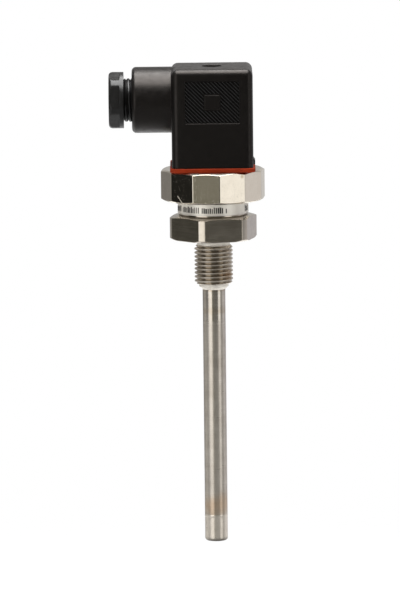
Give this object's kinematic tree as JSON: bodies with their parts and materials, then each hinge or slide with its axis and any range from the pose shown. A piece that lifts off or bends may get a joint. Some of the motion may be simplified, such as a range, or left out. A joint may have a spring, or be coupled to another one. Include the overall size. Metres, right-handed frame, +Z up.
{
  "type": "resistance temperature probe with plug head",
  "caption": "Temperature probe with a straight welded stem, a threaded hexagonal process fitting and a square plug head with a side cable gland.",
  "frame": {"origin": "centre of the sealing face under the hexagon", "axes": "+Z runs up the probe's axis to the head, the cable gland points along -X, the panel face of the socket looks along -Y"},
  "size_m": [0.0543, 0.0364, 0.1681],
  "materials": {
    "stem_steel": "ground stainless tube, fine lengthwise sheen",
    "plug_steel": "turned stainless, brighter than the tube",
    "fitting_steel": "turned stainless",
    "nickel_plate": "nickel plated",
    "ceramic": "fired alumina",
    "lead_insulation": "wire with glass-silk sleeve",
    "potting_resin": "cast resin",
    "black_rubber": "moulded",
    "orange_rubber": "moulded silicone",
    "carrier_plastic": "moulded, glass filled",
    "insert_plastic": "moulded, glass filled",
    "black_polyamide": "moulded, satin",
    "gland_polyamide": "moulded, glass filled, satin",
    "washer_plastic": "stamped",
    "brass": "turned",
    "tinned_brass": "stamped and tin plated",
    "zinc_steel": "zinc plated"
  },
  "bodies": {
    "probe": {"stem_tube": "stem_steel", "end_plug": "plug_steel", "sensing_element": "ceramic", "insulator": "ceramic", "lead_wire_1": "lead_insulation", "lead_wire_2": "lead_insulation", "lead_wire_3": "lead_insulation", "earth_lead": "lead_insulation", "potting": "potting_resin", "process_fitting": "fitting_steel", "union_nut": "nickel_plate", "carrier_seal": "black_rubber", "pin_carrier": "carrier_plastic", "screw_insert": "brass", "blade_1": "tinned_brass", "blade_2": "tinned_brass", "blade_3": "tinned_brass", "earth_blade": "tinned_brass", "gasket": "orange_rubber"},
    "socket": {"socket_housing": "black_polyamide", "terminal_insert": "insert_plastic", "contact_1": "tinned_brass", "contact_2": "tinned_brass", "contact_3": "tinned_brass", "earth_contact": "tinned_brass", "terminal_screws": "zinc_steel", "cable_seal": "black_rubber"},
    "screw_seal": {"screw_seal": "black_rubber"},
    "fixing_screw": {"fixing_screw": "zinc_steel"},
    "gland_washer": {"gland_washer": "washer_plastic"},
    "gland_nut": {"gland_nut": "gland_polyamide"}
  },
  "joints": [
    {"name": "plug_lift", "type": "slide", "parent": "probe", "child": "socket", "axis": [0, 0, 1], "range_m": [0, 0.02]},
    {"name": "screw_rise", "type": "slide", "parent": "socket", "child": "screw_seal", "axis": [0, 0, 1], "range_m": [0, 0.0055]},
    {"name": "screw_turn", "type": "hinge", "parent": "screw_seal", "child": "fixing_screw", "pos_m": [0, 0, 0.0575], "axis": [0, 0, 1], "range_deg": [0, 3961]},
    {"name": "gland_slide", "type": "slide", "parent": "socket", "child": "gland_washer", "axis": [-1, 0, 0], "range_m": [-0.0025, 0.0055]},
    {"name": "gland_turn", "type": "hinge", "parent": "gland_washer", "child": "gland_nut", "pos_m": [-0.0295, 0, 0.049], "axis": [-1, 0, 0], "range_deg": [-639, 1405]}
  ],
  "couplings": [
    {"joint": "screw_turn", "follows": "screw_rise", "rad_per_m": 12566},
    {"joint": "gland_turn", "follows": "gland_slide", "rad_per_m": 4453}
  ]
}
